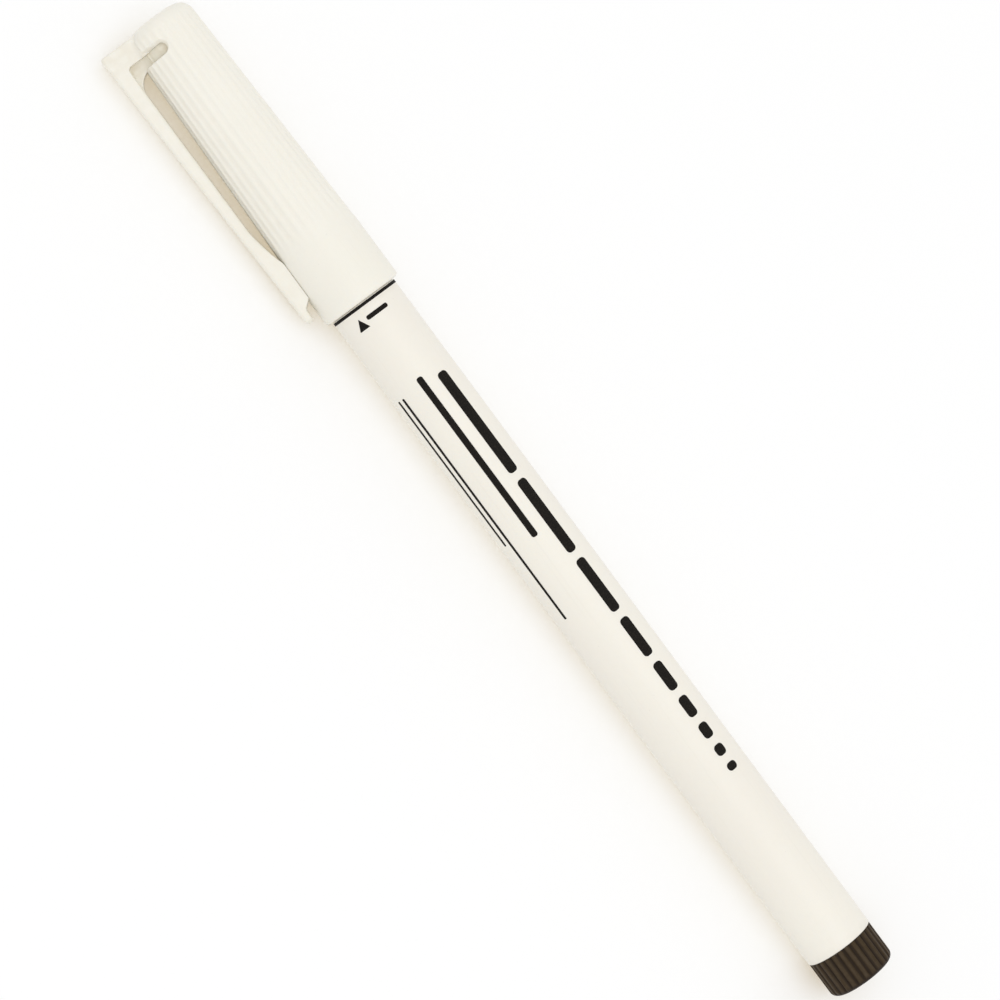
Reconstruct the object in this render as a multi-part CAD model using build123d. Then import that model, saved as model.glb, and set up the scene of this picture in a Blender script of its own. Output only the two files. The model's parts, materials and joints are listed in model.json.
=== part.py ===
from build123d import *
from math import acos, atan, atan2, degrees, hypot
import os

# A capped fibre-tip correction pen lying on its side, in millimetres.
# The pen's axis is X, from the cap's top (-X) to the end plug (+X). The origin is on the axis,
# half way along the bare barrel. Z is up. The clip hangs towards -Y and a little down, as far
# as it comes when the pen lies on the cap's rim and the clip's root.

# Barrel
barrel_diameter = 8.8
barrel_wall = 0.75
barrel_shown = 94.5  # bare length between the cap's mouth and the plug's head
barrel_in_cap = 7.0
cap_seat_step = 0.2  # the seat under the cap is this much lower than the bare barrel
cap_seat_reveal = 0.1  # part of that seat left showing at the cap's mouth
barrel_rear_chamfer = 0.12
barrel_rib_count = 4
barrel_rib_width = 0.8
barrel_rib_height = 0.2
barrel_rib_setback = 0.5  # bare bore between a rib's end and the spigot beside it

# End plug
plug_head_length = 5.0
plug_head_inset = 0.05  # head's crests below the barrel's surface
plug_edge_radius = 0.9
plug_end_thickness = 1.6
plug_spigot_length = 8.0
plug_spigot_wall = 1.0
plug_groove_count = 28
plug_groove_width = 0.55
plug_groove_depth = 0.18

# Front section
section_spigot_length = 9.0
section_flange_length = 1.2
section_wall = 1.0
neck_step = 0.4
neck_length = 8.0
bead_height = 0.15
bead_crest = 0.6
bead_ramp = 0.3
land_length = 4.0
land_shoulder = 0.15
nozzle_length = 2.6
nozzle_wall = 0.55
nozzle_step = 0.2
nozzle_lip_radius = 0.25
air_groove_count = 3
air_groove_width = 0.5
air_groove_depth = 0.25

# Nib
nib_diameter = 2.0
nib_showing = 2.4
nib_taper = 1.6
nib_point_diameter = 0.9
nib_point_radius = 0.35
nib_in_core = 8.0
nib_rear_taper = 1.5
nib_room = 5.4  # free length in the inner cap ahead of the nib

# Reservoir
wrap_thickness = 0.1

# Cap shell
cap_length = 40.76
cap_mouth_wall = 0.9
cap_taper = 0.8  # loss of radius from the collar to the top
cap_wall = 0.75
cap_top_thickness = 1.2
cap_edge_radius = 1.8
cap_lip_radius = 0.5
cap_lead_in = 0.25
collar_length = 8.3
collar_lift = 0.05
click_ring_length = 0.8
flute_count = 28
flute_width = 0.8
flute_depth = 0.09
vent_width = 1.3
vent_half_arc = 73.0  # degrees from the clip to the centre of each round end

# Inner cap
inner_cap_wall = 0.35
inner_cap_floor = 0.6
inner_cap_rim_gap = 0.3
fin_count = 6
fin_thickness = 0.6
fin_least_height = 0.12

# Pocket clip and the lug that carries it
lug_from_top = 0.29
lug_length = 2.72
lug_fillet = 0.5
web_width = 1.6  # rib that props the clip behind the lug, across the vent
web_land = 0.2  # of the rib's foot on the cap past the vent
web_fillet = 2.2
clip_gap = 1.62
clip_root_thickness = 2.03
clip_root_width = 4.4
clip_tip_thickness = 1.0
clip_tip_width = 3.8
clip_tip_from_mouth = 1.5
clip_tip_length = 1.5
clip_flare_length = 0.9
clip_flare_radius = 0.6
clip_pad_length = 5.0
clip_ramp_length = 5.2
clip_edge_radius = 0.4
clip_corner_radius = 1.2
clip_bend_radius = 5.0

# Clearances
press_gap = 0.01  # between pieces pressed together
rib_gap = 0.03  # reservoir between the barrel's ribs
film_gap = 0.02  # wrap around the core
nib_gap = 0.02  # nib in its bores
cap_gap = 0.06  # cap over the barrel's seat
click_gap = 0.04  # click ring over the bead
seal_gap = 0.04  # inner cap over the sealing land
clip_pad_gap = 0.1  # clip's pad over the collar

# Places along the pen
mouth_x = -barrel_shown / 2
barrel_rear_x = barrel_shown / 2
plug_end_x = barrel_rear_x + plug_head_length
cap_top_x = mouth_x - cap_length
collar_x = mouth_x - collar_length
lug_front_x = cap_top_x + lug_from_top
lug_rear_x = lug_front_x + lug_length
web_x = lug_rear_x + vent_width + web_land
clip_start_x = web_x + web_fillet
clip_tip_x = mouth_x - clip_tip_from_mouth
barrel_front_x = mouth_x - barrel_in_cap
flange_front_x = barrel_front_x - section_flange_length
neck_front_x = flange_front_x - neck_length
land_front_x = neck_front_x - land_length
inner_cap_end_x = cap_top_x + cap_top_thickness
inner_cap_rim_x = neck_front_x - inner_cap_rim_gap
nib_tip_x = inner_cap_end_x + inner_cap_floor + nib_room
nozzle_front_x = nib_tip_x + nib_showing
nozzle_rear_x = nozzle_front_x + nozzle_length
reservoir_front_x = barrel_front_x + section_spigot_length
reservoir_rear_x = barrel_rear_x - plug_spigot_length
nib_rear_x = reservoir_front_x + nib_in_core

# Radii
barrel_radius = barrel_diameter / 2
seat_radius = barrel_radius - cap_seat_step
bore_radius = barrel_radius - barrel_wall
spigot_radius = bore_radius - press_gap
wrap_radius = bore_radius - barrel_rib_height - rib_gap
core_radius = wrap_radius - wrap_thickness - film_gap
nib_radius = nib_diameter / 2
nib_bore_radius = nib_radius + nib_gap
neck_radius = seat_radius - neck_step
bead_radius = neck_radius + bead_height
cap_bore_radius = seat_radius + cap_gap
click_ring_radius = bead_radius + click_gap
collar_radius = cap_bore_radius + cap_mouth_wall


def cap_crest(x):
    """Radius of the fluted cone's crests at a place along the pen."""
    return collar_radius - collar_lift - cap_taper * (collar_x - x) / (collar_x - cap_top_x)


def cap_bore(x):
    """Radius of the shell's tapered inside, past the click ring."""
    return cap_crest(x) - flute_depth - cap_wall


cap_top_radius = cap_crest(cap_top_x)
inner_cap_radius = cap_bore(inner_cap_end_x) - fin_least_height
inner_cap_bore = inner_cap_radius - inner_cap_wall
land_radius = inner_cap_bore - seal_gap
nozzle_radius = nib_bore_radius + nozzle_wall

# The clip's reach and its droop: the rounded corner of its root is level with the collar's rim
clip_inner = cap_top_radius + clip_gap
clip_outer = clip_inner + clip_root_thickness
corner_out = clip_outer - clip_edge_radius
corner_side = clip_root_width / 2 - clip_edge_radius
corner_lean = acos((collar_radius - clip_edge_radius) / hypot(corner_out, corner_side))
clip_droop = 90 - degrees(corner_lean + atan2(corner_side, corner_out))


def turned(*points):
    """Solid turned about the pen's axis from an outline of (x, radius) points."""
    return revolve(make_face(Polyline(*points, close=True)), Axis.X)


def outline(*points):
    return make_face(Polyline(*points, close=True))


def rounded(face, x, y, radius):
    """The face with its corner nearest to (x, y) rounded."""
    return fillet(face.vertices().sort_by_distance((x, y, 0))[0], radius)


def around(tool, count, first=0.0):
    """Copies of a tool spaced evenly round the pen's axis."""
    return [Rot(first + turn * 360 / count, 0, 0) * tool for turn in range(count)]


def groove_radius(width, depth):
    """Radius of the round cutter that leaves a groove of this width and depth."""
    return (width**2 / 4 + depth**2) / (2 * depth)


def rod(radius, start_x, end_x):
    """Cylinder along the pen's axis."""
    length = end_x - start_x
    return Pos((start_x + end_x) / 2, 0, 0) * Rot(0, 90, 0) * Cylinder(radius, length)


def barrel():
    step_x = mouth_x + cap_seat_reveal
    chamfer_x = barrel_rear_x - barrel_rear_chamfer
    tube = turned(
        (barrel_front_x, bore_radius),
        (barrel_front_x, seat_radius),
        (step_x, seat_radius),
        (step_x, barrel_radius),
        (chamfer_x, barrel_radius),
        (barrel_rear_x, barrel_radius - barrel_rear_chamfer),
        (barrel_rear_x, bore_radius),
    )
    start_x = reservoir_front_x + barrel_rib_setback
    end_x = reservoir_rear_x - barrel_rib_setback
    root_radius = bore_radius + barrel_wall / 2
    plate = Box(end_x - start_x, root_radius, barrel_rib_width, align=(Align.MIN, Align.MIN, Align.CENTER))
    ribs = rod(root_radius, start_x, end_x) & (Part() + around(Pos(start_x, 0, 0) * plate, barrel_rib_count))
    return tube + (ribs - rod(bore_radius - barrel_rib_height, start_x, end_x))


def end_plug():
    head_radius = barrel_radius - plug_head_inset
    spigot_bore = spigot_radius - plug_spigot_wall
    face = outline(
        (reservoir_rear_x, spigot_bore),
        (reservoir_rear_x, spigot_radius),
        (barrel_rear_x, spigot_radius),
        (barrel_rear_x, head_radius),
        (plug_end_x, head_radius),
        (plug_end_x, 0),
        (plug_end_x - plug_end_thickness, 0),
        (plug_end_x - plug_end_thickness, spigot_bore),
    )
    blank = revolve(rounded(face, plug_end_x, head_radius, plug_edge_radius), Axis.X)
    cutter_radius = groove_radius(plug_groove_width, plug_groove_depth)
    cutter = rod(cutter_radius, barrel_rear_x, plug_end_x + cutter_radius)
    cutter = Pos(0, head_radius - plug_groove_depth + cutter_radius, 0) * cutter
    return blank - around(cutter, plug_groove_count)


def front_section():
    bead_rear_x = flange_front_x - click_ring_length - bead_ramp
    crest_rear_x = bead_rear_x - bead_ramp
    crest_front_x = crest_rear_x - bead_crest
    bead_front_x = crest_front_x - bead_ramp
    face = outline(
        (reservoir_front_x, spigot_radius - section_wall),
        (reservoir_front_x, spigot_radius),
        (barrel_front_x, spigot_radius),
        (barrel_front_x, seat_radius),
        (flange_front_x, seat_radius),
        (flange_front_x, neck_radius),
        (bead_rear_x, neck_radius),
        (crest_rear_x, bead_radius),
        (crest_front_x, bead_radius),
        (bead_front_x, neck_radius),
        (neck_front_x, neck_radius),
        (neck_front_x, land_radius),
        (land_front_x, land_radius),
        (land_front_x, land_radius - land_shoulder),
        (nozzle_rear_x, nozzle_radius + nozzle_step),
        (nozzle_rear_x, nozzle_radius),
        (nozzle_front_x, nozzle_radius),
        (nozzle_front_x, nib_bore_radius),
        (land_front_x, nib_bore_radius),
        (land_front_x, land_radius - section_wall),
        (barrel_front_x, land_radius - section_wall),
        (barrel_front_x, spigot_radius - section_wall),
    )
    nose = revolve(rounded(face, nozzle_front_x, nozzle_radius, nozzle_lip_radius), Axis.X)
    depth = nib_bore_radius + air_groove_depth
    plate = Box(land_front_x - nozzle_front_x, depth, air_groove_width,
                align=(Align.MIN, Align.MIN, Align.CENTER))
    return nose - around(Pos(nozzle_front_x, 0, 0) * plate, air_groove_count)


def nib():
    point = nib_point_diameter / 2
    face = outline(
        (nib_tip_x, 0),
        (nib_tip_x, point),
        (nib_tip_x + nib_taper, nib_radius),
        (nib_rear_x - nib_rear_taper, nib_radius),
        (nib_rear_x, point),
        (nib_rear_x, 0),
    )
    return revolve(rounded(face, nib_tip_x, point, nib_point_radius), Axis.X)


def reservoir_core():
    return rod(core_radius, reservoir_front_x, reservoir_rear_x) - turned(
        (reservoir_front_x, 0),
        (reservoir_front_x, nib_bore_radius),
        (nib_rear_x - nib_rear_taper, nib_bore_radius),
        (nib_rear_x + nib_gap, nib_point_diameter / 2 + nib_gap),
        (nib_rear_x + nib_gap, 0),
    )


def reservoir_wrap():
    tube = rod(wrap_radius, reservoir_front_x, reservoir_rear_x)
    return tube - rod(wrap_radius - wrap_thickness, reservoir_front_x, reservoir_rear_x)


def inner_cap():
    floor_x = inner_cap_end_x + inner_cap_floor
    cup = turned(
        (inner_cap_end_x, 0),
        (inner_cap_end_x, inner_cap_radius),
        (inner_cap_rim_x, inner_cap_radius),
        (inner_cap_rim_x, inner_cap_bore),
        (floor_x, inner_cap_bore),
        (floor_x, 0),
    )
    sleeve = turned(
        (inner_cap_end_x, inner_cap_bore),
        (inner_cap_end_x, cap_bore(inner_cap_end_x) - press_gap),
        (inner_cap_rim_x, cap_bore(inner_cap_rim_x) - press_gap),
        (inner_cap_rim_x, inner_cap_bore),
    )
    plate = Box(inner_cap_rim_x - inner_cap_end_x, collar_radius, fin_thickness,
                align=(Align.MIN, Align.MIN, Align.CENTER))
    fins = Part() + around(Pos(inner_cap_end_x, 0, 0) * plate, fin_count)
    return cup + (sleeve & fins)


def clip_whole():
    """Lug, rib, arm and pad in one, pointing to -Y, before the arm is parted from the lug."""
    flare_x = clip_tip_x - clip_tip_length
    pad_rear_x = flare_x - clip_flare_length
    pad_front_x = pad_rear_x - clip_pad_length
    ramp_x = pad_front_x - clip_ramp_length
    pad_out = collar_radius + clip_pad_gap
    side = outline(
        (lug_front_x, 0),
        (lug_front_x, -clip_outer),
        (clip_tip_x, -clip_inner - clip_tip_thickness),
        (clip_tip_x, -clip_inner),
        (flare_x, -clip_inner),
        (pad_rear_x, -pad_out),
        (pad_front_x, -pad_out),
        (ramp_x, -clip_inner),
        (lug_rear_x, -clip_inner),
        (lug_rear_x, 0),
    )
    side = rounded(side, lug_rear_x, -clip_inner, lug_fillet)
    side = rounded(side, flare_x, -clip_inner, clip_flare_radius)
    side = rounded(side, pad_rear_x, -pad_out, clip_flare_radius)
    side = rounded(side, pad_front_x, -pad_out, clip_bend_radius)
    side = rounded(side, ramp_x, -clip_inner, clip_bend_radius)
    root_half = clip_root_width / 2
    tip_half = clip_tip_width / 2
    plan = outline(
        (lug_front_x, -root_half),
        (clip_tip_x, -tip_half),
        (clip_tip_x, tip_half),
        (lug_front_x, root_half),
    )
    plan = rounded(plan, clip_tip_x, -tip_half, clip_corner_radius)
    plan = rounded(plan, clip_tip_x, tip_half, clip_corner_radius)
    arm = extrude(side, clip_root_width, both=True) & Rot(90, 0, 0) * extrude(plan, clip_outer, both=True)
    arm = fillet(arm.faces().sort_by(Axis.Y)[0].edges(), clip_edge_radius)

    inside_arm = clip_inner + clip_tip_thickness / 2
    rib = outline(
        (lug_rear_x - lug_fillet, 0),
        (lug_rear_x - lug_fillet, -inside_arm),
        (clip_start_x + lug_fillet, -inside_arm),
        (clip_start_x + lug_fillet, -clip_inner),
        (web_x, -clip_inner),
        (web_x, 0),
    )
    rib = rounded(rib, web_x, -clip_inner, web_fillet)
    return arm + extrude(rib, web_width / 2, both=True)


def clip_parting():
    """Plane where the springing arm leaves the lug and its rib, facing along the arm."""
    return Plane((clip_start_x, 0, 0), z_dir=(1, 0, 0))


def pocket_clip():
    return Rot(clip_droop, 0, 0) * split(clip_whole(), clip_parting(), Keep.TOP)


def cap_shell():
    cone = outline(
        (cap_top_x, 0),
        (cap_top_x, cap_top_radius),
        (collar_x - collar_lift, cap_crest(collar_x)),
        (collar_x, cap_crest(collar_x) + collar_lift),
        (mouth_x, collar_radius),
        (mouth_x, 0),
    )
    cone = rounded(cone, cap_top_x, cap_top_radius, cap_edge_radius)
    cone = rounded(cone, mouth_x, collar_radius, cap_lip_radius)

    cutter_radius = groove_radius(flute_width, flute_depth)
    flute_end_x = collar_x - collar_lift - flute_width / 2
    over_top_x = cap_top_x - cutter_radius
    cutter = rod(cutter_radius, over_top_x, flute_end_x) + Pos(flute_end_x, 0, 0) * Sphere(cutter_radius)
    slope = degrees(atan(cap_taper / (collar_x - cap_top_x)))
    lift = cap_crest(flute_end_x) - flute_depth + cutter_radius
    cutter = Pos(flute_end_x, lift, 0) * Rot(0, 0, slope) * Pos(-flute_end_x, 0, 0) * cutter
    pitch = 360 / flute_count
    flutes = around(cutter, flute_count, pitch / 2 + flute_count % 2 * pitch / 2)

    vent_x = lug_rear_x + vent_width / 2
    vent_in = cap_bore(cap_top_x) - cap_wall
    vent_out = cap_top_radius + cap_wall
    slot = outline(
        (vent_x - vent_width / 2, -vent_in),
        (vent_x + vent_width / 2, -vent_in),
        (vent_x + vent_width / 2, -vent_out),
        (vent_x - vent_width / 2, -vent_out),
    )
    slot = Rot(-vent_half_arc, 0, 0) * revolve(slot, Axis.X, 2 * vent_half_arc)
    round_end = Rot(90, 0, 0) * Cylinder(vent_width / 2, vent_out - vent_in)
    round_end = Pos(vent_x, -(vent_in + vent_out) / 2, 0) * round_end
    slot_ends = [Rot(side * vent_half_arc, 0, 0) * round_end for side in (-1, 1)]

    ring_front_x = flange_front_x - click_ring_length
    ring_back = cap_bore(ring_front_x) - click_ring_radius
    inside = turned(
        (mouth_x, 0),
        (mouth_x, cap_bore_radius + cap_lead_in),
        (mouth_x - cap_lead_in, cap_bore_radius),
        (flange_front_x, cap_bore_radius),
        (flange_front_x, click_ring_radius),
        (ring_front_x, click_ring_radius),
        (ring_front_x - ring_back, cap_bore(ring_front_x - ring_back)),
        (inner_cap_end_x, cap_bore(inner_cap_end_x)),
        (inner_cap_end_x, 0),
    )
    lug = split(clip_whole(), clip_parting(), Keep.BOTTOM)
    shell = revolve(cone, Axis.X) - flutes - slot - slot_ends + lug - inside
    return Rot(clip_droop, 0, 0) * shell


pieces = (
    barrel,
    end_plug,
    front_section,
    nib,
    reservoir_core,
    reservoir_wrap,
    inner_cap,
    pocket_clip,
    cap_shell,
)

os.makedirs("parts", exist_ok=True)
for piece in pieces:
    solid = piece()
    solid.label = piece.__name__
    export_step(solid, f"parts/{piece.__name__}.step")
    print("ok", piece.__name__, round(solid.volume, 2))
print("clip droop", round(clip_droop, 3), "degrees")
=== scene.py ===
import json
import bmesh
import bpy
import numpy as np
from mathutils import Matrix, Vector


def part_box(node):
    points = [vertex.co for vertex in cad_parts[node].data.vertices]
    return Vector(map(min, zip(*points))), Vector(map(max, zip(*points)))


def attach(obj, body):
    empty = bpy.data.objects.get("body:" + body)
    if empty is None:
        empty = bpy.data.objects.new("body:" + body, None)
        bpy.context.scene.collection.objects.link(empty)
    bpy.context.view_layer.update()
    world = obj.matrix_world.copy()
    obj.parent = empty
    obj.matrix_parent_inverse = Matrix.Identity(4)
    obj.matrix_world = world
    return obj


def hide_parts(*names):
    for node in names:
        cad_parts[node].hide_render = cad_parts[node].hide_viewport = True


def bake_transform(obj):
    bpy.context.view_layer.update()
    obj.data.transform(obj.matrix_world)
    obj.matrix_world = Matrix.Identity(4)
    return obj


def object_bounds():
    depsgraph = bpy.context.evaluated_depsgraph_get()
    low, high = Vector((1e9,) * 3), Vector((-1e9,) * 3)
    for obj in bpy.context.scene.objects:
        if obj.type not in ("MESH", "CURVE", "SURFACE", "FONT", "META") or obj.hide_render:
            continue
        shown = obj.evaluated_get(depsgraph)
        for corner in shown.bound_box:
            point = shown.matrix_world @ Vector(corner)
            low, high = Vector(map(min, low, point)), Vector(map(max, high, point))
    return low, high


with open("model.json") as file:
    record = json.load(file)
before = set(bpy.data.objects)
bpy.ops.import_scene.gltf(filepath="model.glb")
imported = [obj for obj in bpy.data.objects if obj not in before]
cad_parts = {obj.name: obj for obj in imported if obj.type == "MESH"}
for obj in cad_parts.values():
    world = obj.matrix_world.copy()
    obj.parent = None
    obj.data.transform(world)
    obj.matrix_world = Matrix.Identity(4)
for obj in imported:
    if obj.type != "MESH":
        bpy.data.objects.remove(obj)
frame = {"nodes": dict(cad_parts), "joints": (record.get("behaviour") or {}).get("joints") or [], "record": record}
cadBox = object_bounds()

# A capped correction pen lying on its side. Lengths are millimetres until a mesh is made.
mm = 0.001
weldGap = 2e-8  # metres; points closer than this become one
cutGap = 1e-6  # metres; the same for the slivers that a cut leaves
sharpTurn = np.radians(34)  # edges that turn more than this stay crisp

# The pen's own axes: along it to the plug, outward to the clip, and across, which the clip's hinge gives.
joints = {joint["name"]: joint for joint in frame["joints"]}
mounts = {mount["name"]: mount for mount in frame["record"]["mounts"]}
along = np.array([1.0, 0.0, 0.0])
across = np.array(joints["clip_flex"]["axis"], float)
across /= np.linalg.norm(across)
outward = np.cross(across, along)
penAxes = np.array([along, outward, across])
firstCut = np.arctan2(across[1], outward[1])  # angle from the clip to +Y, where repeated cuts and ribs begin


def span(node):
    low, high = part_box(node)
    return low.x / mm, high.x / mm


capTopX, mouthX = span("cap_shell")
barrelFrontX, barrelRearX = span("barrel")
spigotEndX, plugEndX = span("end_plug")
nozzleX, sectionRearX = span("front_section")
nibTipX, nibRearX = span("nib")
linerEndX, linerRimX = span("inner_cap")
clipTipX = span("pocket_clip")[1]


# A path of (x, radius) points. Each corner (x, radius, round) with a round becomes an arc that touches
# both of its sides, with a spare point just past each end so that straight stretches shade straight.
def roundedPath(corners, closed=False, steps=8, spare=0.02):
    spots = np.array([corner[:2] for corner in corners], float)
    points = []
    for i, corner in enumerate(corners):
        atEnd = not closed and i in (0, len(corners) - 1)
        if corner[2] == 0 or atEnd:
            points.append(spots[i])
            continue
        before = spots[i - 1] - spots[i]
        after = spots[(i + 1) % len(spots)] - spots[i]
        before /= np.linalg.norm(before)
        after /= np.linalg.norm(after)
        half = np.arccos(np.clip(before @ after, -1, 1)) / 2
        reach = corner[2] / np.tan(half)
        bisector = (before + after) / np.linalg.norm(before + after)
        middle = spots[i] + bisector * corner[2] / np.sin(half)
        first = spots[i] + before * reach - middle
        last = spots[i] + after * reach - middle
        turn = np.pi - 2 * half
        share = np.linspace(0, 1, steps + 1)[:, None]
        arc = middle + (np.sin((1 - share) * turn) * first + np.sin(share * turn) * last) / np.sin(turn)
        points += [spots[i] + before * (reach + spare), *arc, spots[i] + after * (reach + spare)]
    return np.array(points)


def roundAngles(count, first=0.0):
    return first + np.linspace(0, 2 * np.pi, count, endpoint=False)


# Way round the axis, at a radius, to the middle of the nearest of count repeats.
def repeatOffset(angles, radius, count, first):
    pitch = 2 * np.pi / count
    return np.abs(np.mod((angles - first) / pitch + 0.5, 1) - 0.5) * pitch * radius


# 1 on flat ribs or cuts that run along the pen and 0 between them: the way in from their sides over edge,
# kept between 0 and 1.
def flatRepeats(angles, radius, count, width, edge):
    return np.clip((width / 2 - repeatOffset(angles, radius, count, firstCut)) / edge, 0, 1)


# Turned surface: the point of a path at x and radius r goes round the axis as (x, r cos a, r sin a).
# radiusAt(x, r, a), where given, replaces r, which is how flutes, grooves and ribs come in.
def turned(path, angles, radiusAt=None):
    x, radius, turn = np.broadcast_arrays(path[:, :1], path[:, 1:], angles[None, :])
    if radiusAt is not None:
        radius = radiusAt(x, radius, turn)
    return np.stack([x, radius * np.cos(turn), radius * np.sin(turn)], axis=-1)


# Corners of each cell of a grid of points, its last column joined to its first, and its rows too where they
# wrap.
def gridFaces(rows, columns, wrapRows=False):
    number = np.arange(rows * columns).reshape(rows, columns)
    if wrapRows:
        number = np.vstack([number, number[:1]])
    number = np.hstack([number, number[:, :1]])
    corners = [number[:-1, :-1], number[1:, :-1], number[1:, 1:], number[:-1, 1:]]
    return np.stack(corners, axis=-1).reshape(-1, 4)


# Welds poles and slivers, splits the many-sided faces that a cut leaves, turns the faces outwards and
# shades smooth what turns gently.
def finishMesh(mesh, gap):
    shape = bmesh.new()
    shape.from_mesh(mesh)
    bmesh.ops.remove_doubles(shape, verts=shape.verts, dist=gap)
    manySided = [face for face in shape.faces if len(face.verts) > 4]
    bmesh.ops.triangulate(shape, faces=manySided, quad_method="BEAUTY", ngon_method="BEAUTY")
    bmesh.ops.recalc_face_normals(shape, faces=shape.faces)
    shape.to_mesh(mesh)
    shape.free()
    mesh.shade_smooth()
    mesh.set_sharp_from_angle(angle=sharpTurn)


# Rows of points with one more row at each end, drawn to that end's middle, which closes the grid there.
def withEnds(rows):
    first, last = (np.broadcast_to(row.mean(axis=0), row.shape)[None] for row in (rows[0], rows[-1]))
    return np.concatenate([first, rows, last])


def putObject(name, data):
    placed = bpy.data.objects.new(name, data)
    bpy.context.scene.collection.objects.link(placed)
    return placed


# Puts points in the pen's axes into a mesh in the frame.
def putPiece(name, points, faces, material):
    mesh = bpy.data.meshes.new(name)
    mesh.from_pydata(points.reshape(-1, 3) @ penAxes * mm, [], faces)
    finishMesh(mesh, weldGap)
    mesh.materials.append(material)
    return putObject(name, mesh)


def putTurned(name, path, angles, material, radiusAt=None, closed=False):
    faces = gridFaces(len(path), len(angles), wrapRows=closed)
    return putPiece(name, turned(path, angles, radiusAt), faces, material)


# Writes a number on every point of a finished mesh: markAt(x, radius, angle) in the pen's axes.
def markPoints(piece, name, markAt):
    places = np.empty(len(piece.data.vertices) * 3, np.float32)
    piece.data.vertices.foreach_get("co", places)
    x, out, side = (places.reshape(-1, 3) @ penAxes.T / mm).T
    values = markAt(x, np.hypot(out, side), np.arctan2(side, out))
    mark = piece.data.attributes.new(name, "FLOAT", "POINT")
    mark.data.foreach_set("value", values.astype(np.float32))


# Depth of round grooves that run along the pen: depth times 1 - (d / half width)^2, softened where it
# reaches nothing, d being the way round the axis to the middle of the nearest groove.
def grooveDepth(angles, radius, count, first, width, depth, soft=0.18):
    aside = repeatOffset(angles, radius, count, first)
    inside = 1 - aside**2 / (width / 2) ** 2
    return depth * (inside + np.sqrt(inside**2 + soft**2)) / 2


# An output socket of a shader tree. Sums, products and the like of wires and numbers add Math nodes.
class Wire:
    def __init__(self, tree, socket=None):
        self.tree = tree
        self.socket = socket

    def node(self, kind, settings, inputs, output=0):
        made = self.tree.nodes.new(kind)
        for key, value in settings.items():
            setattr(made, key, value)
        for key, value in inputs.items():
            if isinstance(value, Wire):
                self.tree.links.new(value.socket, made.inputs[key])
            else:
                made.inputs[key].default_value = value
        return Wire(self.tree, made.outputs[output] if made.outputs else None)

    def math(self, operation, first, second):
        return self.node("ShaderNodeMath", {"operation": operation}, {0: first, 1: second})

    def __add__(self, other):
        return self.math("ADD", self, other)

    def __sub__(self, other):
        return self.math("SUBTRACT", self, other)

    def __rsub__(self, other):
        return self.math("SUBTRACT", other, self)

    def __mul__(self, other):
        return self.math("MULTIPLY", self, other)

    __radd__ = __add__
    __rmul__ = __mul__


noiseMiddle = 0.5  # what a noise swings about


def noise(coords, size, detail=3.0, roughness=0.5):
    inputs = {"Vector": coords, "Scale": 1 / (size * mm), "Detail": detail, "Roughness": roughness}
    return coords.node("ShaderNodeTexNoise", {}, inputs)


def stretched(coords, lengthwise):
    return coords.node("ShaderNodeMapping", {}, {"Vector": coords, "Scale": (1 / lengthwise, 1, 1)})


def between(value, low, high):
    inputs = {"Value": value, "From Min": low, "From Max": high}
    return value.node("ShaderNodeMapRange", {"interpolation_type": "SMOOTHSTEP"}, inputs)


# The Mix node takes its two colours at sockets 6 and 7 and gives a colour at output 2.
def mixed(factor, first, second):
    return factor.node("ShaderNodeMix", {"data_type": "RGBA"}, {0: factor, 6: first, 7: second}, 2)


def tint(red, green, blue):
    return red, green, blue, 1.0


def newMaterial(name):
    material = bpy.data.materials.new(name)
    material.use_nodes = True
    material.node_tree.nodes.clear()
    start = Wire(material.node_tree)
    return material, start, start.node("ShaderNodeTexCoord", {}, {}, "Object")


def shade(start, inputs):
    surface = start.node("ShaderNodeBsdfPrincipled", {}, inputs)
    start.node("ShaderNodeOutputMaterial", {}, {"Surface": surface})


def bump(height, depth):
    return height.node("ShaderNodeBump", {}, {"Height": height, "Distance": depth * mm, "Strength": 1.0})


# What all moulded plastics share. A range says where a pattern begins and where it is full, detail and rough
# shape its noise, dull adds to the roughness and dent lowers the grain.
mouldLook = {
    "driftDetail": 2.0, "driftRange": (0.3, 0.7), "dustRange": (0.03, 0.055), "grimeRange": (0.2, 0.75),
    "mottleRange": (0.35, 0.7), "mottleDetail": 4.0, "mottleRough": 0.6, "mottleDull": 0.12,
    "scuffRange": (0.58, 0.75), "scuffDull": 0.1, "scuffDent": 0.4,
    "grainDetail": 2.0, "glowDepth": 0.6, "glowSpread": (1.0, 0.9, 0.75),
}


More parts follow.
